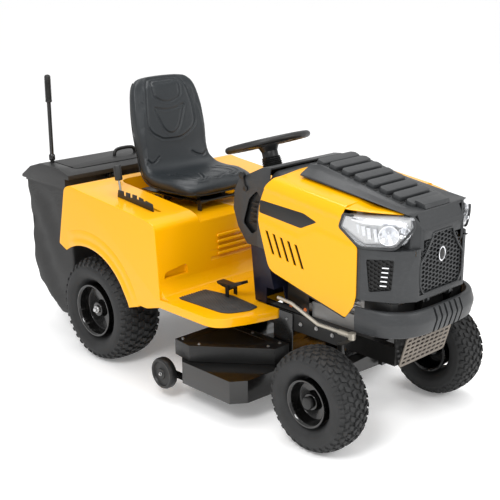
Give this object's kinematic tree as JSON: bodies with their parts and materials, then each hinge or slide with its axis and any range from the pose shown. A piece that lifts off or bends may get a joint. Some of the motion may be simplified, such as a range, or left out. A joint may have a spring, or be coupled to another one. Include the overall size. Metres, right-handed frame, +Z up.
{
  "type": "riding lawn mower",
  "caption": "Ride-on lawn tractor with tilting hood, steered front axle, twin-blade deck, tipping seat and a rear grass collector that tips to empty.",
  "frame": {"origin": "on the ground under the middle of the overall box", "axes": "+X forward, +Y to the driver's left, +Z up"},
  "size_m": [2.062, 1, 1.184],
  "materials": {
    "yellow_paint": "gloss",
    "black_paint": "satin",
    "deck_paint": "gloss",
    "rim_paint": "gloss",
    "grey_plastic": "satin",
    "black_plastic": "satin",
    "tyre_rubber": "matte",
    "pad_rubber": "matte",
    "seat_vinyl": "satin",
    "bag_fabric": "matte",
    "bare_steel": "satin",
    "engine_cast": "matte",
    "gearbox_cast": "matte",
    "shroud_black": "satin",
    "muffler_steel": "matte",
    "lamp_lens": "gloss"
  },
  "bodies": {
    "chassis": {"frame_rails": "black_paint", "frame_crossmembers": "black_paint", "transaxle": "gearbox_cast", "engine_block": "engine_cast", "engine_shroud": "shroud_black", "muffler": "muffler_steel", "dash_cowl": "grey_plastic", "dash_pillar": "black_plastic", "fender_body": "yellow_paint", "foot_pads": "pad_rubber", "lift_notch_plate": "black_paint", "pivot_brackets": "black_paint", "fuel_tank": "shroud_black", "battery": "black_plastic", "bumper": "grey_plastic", "skid_plate": "bare_steel", "discharge_chute": "black_plastic", "collector_support": "black_paint"},
    "front_axle": {"front_axle_beam": "black_paint"},
    "knuckle_right": {"steering_knuckle_right": "black_paint"},
    "knuckle_left": {"steering_knuckle_left": "black_paint"},
    "front_wheel_right": {"front_rim_right": "rim_paint", "front_tyre_right": "tyre_rubber"},
    "front_wheel_left": {"front_rim_left": "rim_paint", "front_tyre_left": "tyre_rubber"},
    "tie_rod": {"tie_rod": "bare_steel"},
    "drag_link": {"drag_link": "bare_steel"},
    "rear_wheel_right": {"rear_rim_right": "rim_paint", "rear_tyre_right": "tyre_rubber", "rear_axle_right": "bare_steel"},
    "rear_wheel_left": {"rear_rim_left": "rim_paint", "rear_tyre_left": "tyre_rubber", "rear_axle_left": "bare_steel"},
    "steering": {"steering_wheel": "black_plastic", "steering_shaft": "black_plastic"},
    "hood": {"hood_shell": "yellow_paint", "hood_spine": "grey_plastic", "hood_bezel": "grey_plastic", "front_grille": "black_plastic", "headlights": "lamp_lens"},
    "seat_base": {"seat_bracket": "black_paint"},
    "seat": {"seat_pan": "black_paint", "seat_cushion": "seat_vinyl"},
    "lift_lever": {"lift_lever": "bare_steel", "lift_knob": "black_plastic"},
    "deck": {"deck_shell": "deck_paint", "belt_covers": "black_paint"},
    "blade_right": {"blade_right": "bare_steel"},
    "blade_left": {"blade_left": "bare_steel"},
    "anti_scalp_wheel_right": {"anti_scalp_wheel_right": "black_plastic"},
    "anti_scalp_wheel_left": {"anti_scalp_wheel_left": "black_plastic"},
    "collector": {"grass_bag": "bag_fabric", "collector_frame": "black_paint", "collector_lid": "grey_plastic", "lid_handle": "black_plastic"},
    "emptying_lever": {"emptying_lever": "black_plastic"},
    "brake_pedal": {"brake_pedal": "black_plastic"},
    "drive_pedal": {"drive_pedal": "black_plastic"},
    "throttle": {"throttle_lever": "black_plastic"},
    "blade_switch": {"blade_switch": "black_plastic"}
  },
  "joints": [
    {"name": "front_axle_pivot", "type": "hinge", "parent": "chassis", "child": "front_axle", "pos_m": [0.745, 0, 0.268], "axis": [1, 0, 0], "range_deg": [-5, 5]},
    {"name": "knuckle_right_turn", "type": "hinge", "parent": "front_axle", "child": "knuckle_right", "pos_m": [0.745, -0.235, 0.268], "axis": [0, 0, 1], "range_deg": [-35, 35]},
    {"name": "knuckle_left_turn", "type": "hinge", "parent": "front_axle", "child": "knuckle_left", "pos_m": [0.745, 0.235, 0.268], "axis": [0, 0, 1], "range_deg": [-35, 35]},
    {"name": "front_wheel_right_roll", "type": "hinge", "parent": "knuckle_right", "child": "front_wheel_right", "pos_m": [0.745, -0.35, 0.1905], "axis": [0, 1, 0], "continuous": true},
    {"name": "front_wheel_left_roll", "type": "hinge", "parent": "knuckle_left", "child": "front_wheel_left", "pos_m": [0.745, 0.35, 0.1905], "axis": [0, 1, 0], "continuous": true},
    {"name": "tie_rod_swing", "type": "hinge", "parent": "knuckle_right", "child": "tie_rod", "pos_m": [0.65, -0.235, 0.166], "axis": [0, 0, 1], "range_deg": [-35, 35]},
    {"name": "drag_link_swing", "type": "hinge", "parent": "knuckle_right", "child": "drag_link", "pos_m": [0.745, -0.175, 0.37], "axis": [0, 0, 1], "range_deg": [-35, 35]},
    {"name": "rear_wheel_right_roll", "type": "hinge", "parent": "chassis", "child": "rear_wheel_right", "pos_m": [-0.459, -0.35, 0.2285], "axis": [0, 1, 0], "continuous": true},
    {"name": "rear_wheel_left_roll", "type": "hinge", "parent": "chassis", "child": "rear_wheel_left", "pos_m": [-0.459, 0.35, 0.2285], "axis": [0, 1, 0], "continuous": true},
    {"name": "steering_turn", "type": "hinge", "parent": "chassis", "child": "steering", "pos_m": [0.141, 0, 0.975], "axis": [-0.309, 0, 0.9511], "range_deg": [-150, 150]},
    {"name": "hood_tilt", "type": "hinge", "parent": "chassis", "child": "hood", "pos_m": [0.977, 0, 0.552], "axis": [0, 1, 0], "range_deg": [0, 55]},
    {"name": "seat_tip", "type": "hinge", "parent": "chassis", "child": "seat_base", "pos_m": [-0.141, 0, 0.7], "axis": [0, 1, 0], "range_deg": [0, 55]},
    {"name": "seat_adjust", "type": "slide", "parent": "seat_base", "child": "seat", "axis": [1, 0, 0], "range_m": [-0.03, 0.04]},
    {"name": "lift_lever_swing", "type": "hinge", "parent": "chassis", "child": "lift_lever", "pos_m": [-0.309, -0.35, 0.47], "axis": [0, 1, 0], "range_deg": [0, 48]},
    {"name": "deck_lift", "type": "slide", "parent": "chassis", "child": "deck", "axis": [0, 0, 1], "range_m": [-0.04, 0]},
    {"name": "blade_right_spin", "type": "hinge", "parent": "deck", "child": "blade_right", "pos_m": [0.263, -0.224, 0.15], "axis": [0, 0, 1], "continuous": true},
    {"name": "blade_left_spin", "type": "hinge", "parent": "deck", "child": "blade_left", "pos_m": [0.263, 0.224, 0.15], "axis": [0, 0, 1], "continuous": true},
    {"name": "anti_scalp_right_roll", "type": "hinge", "parent": "deck", "child": "anti_scalp_wheel_right", "pos_m": [0.046, -0.478, 0.11], "axis": [0, 1, 0], "continuous": true},
    {"name": "anti_scalp_left_roll", "type": "hinge", "parent": "deck", "child": "anti_scalp_wheel_left", "pos_m": [0.046, 0.478, 0.11], "axis": [0, 1, 0], "continuous": true},
    {"name": "collector_tip", "type": "hinge", "parent": "chassis", "child": "collector", "pos_m": [-0.673, 0, 0.735], "axis": [0, 1, 0], "range_deg": [0, 75]},
    {"name": "emptying_lever_pull", "type": "slide", "parent": "collector", "child": "emptying_lever", "axis": [0, 0, 1], "range_m": [-0.2, 0]},
    {"name": "brake_pedal_press", "type": "hinge", "parent": "chassis", "child": "brake_pedal", "pos_m": [0.231, 0.24, 0.442], "axis": [0, 1, 0], "range_deg": [0, 20], "stiffness_Nm_per_rad": 15, "springref_deg": -20.05},
    {"name": "drive_pedal_rock", "type": "hinge", "parent": "chassis", "child": "drive_pedal", "pos_m": [0.181, -0.24, 0.442], "axis": [0, 1, 0], "range_deg": [-12, 12], "stiffness_Nm_per_rad": 15},
    {"name": "throttle_swing", "type": "hinge", "parent": "chassis", "child": "throttle", "pos_m": [0.225, -0.2, 0.838], "axis": [0, 1, 0], "range_deg": [-30, 30]},
    {"name": "blade_switch_pull", "type": "slide", "parent": "chassis", "child": "blade_switch", "axis": [-1, 0, 0], "range_m": [0, 0.02]}
  ],
  "couplings": [
    {"joint": "knuckle_right_turn", "follows": "steering_turn", "ratio": 0.23333},
    {"joint": "knuckle_left_turn", "follows": "steering_turn", "ratio": 0.23333},
    {"joint": "tie_rod_swing", "follows": "steering_turn", "ratio": -0.23333},
    {"joint": "drag_link_swing", "follows": "steering_turn", "ratio": -0.23333},
    {"joint": "deck_lift", "follows": "lift_lever_swing", "m_per_rad": -0.047746},
    {"joint": "blade_left_spin", "follows": "blade_right_spin", "ratio": -1}
  ]
}
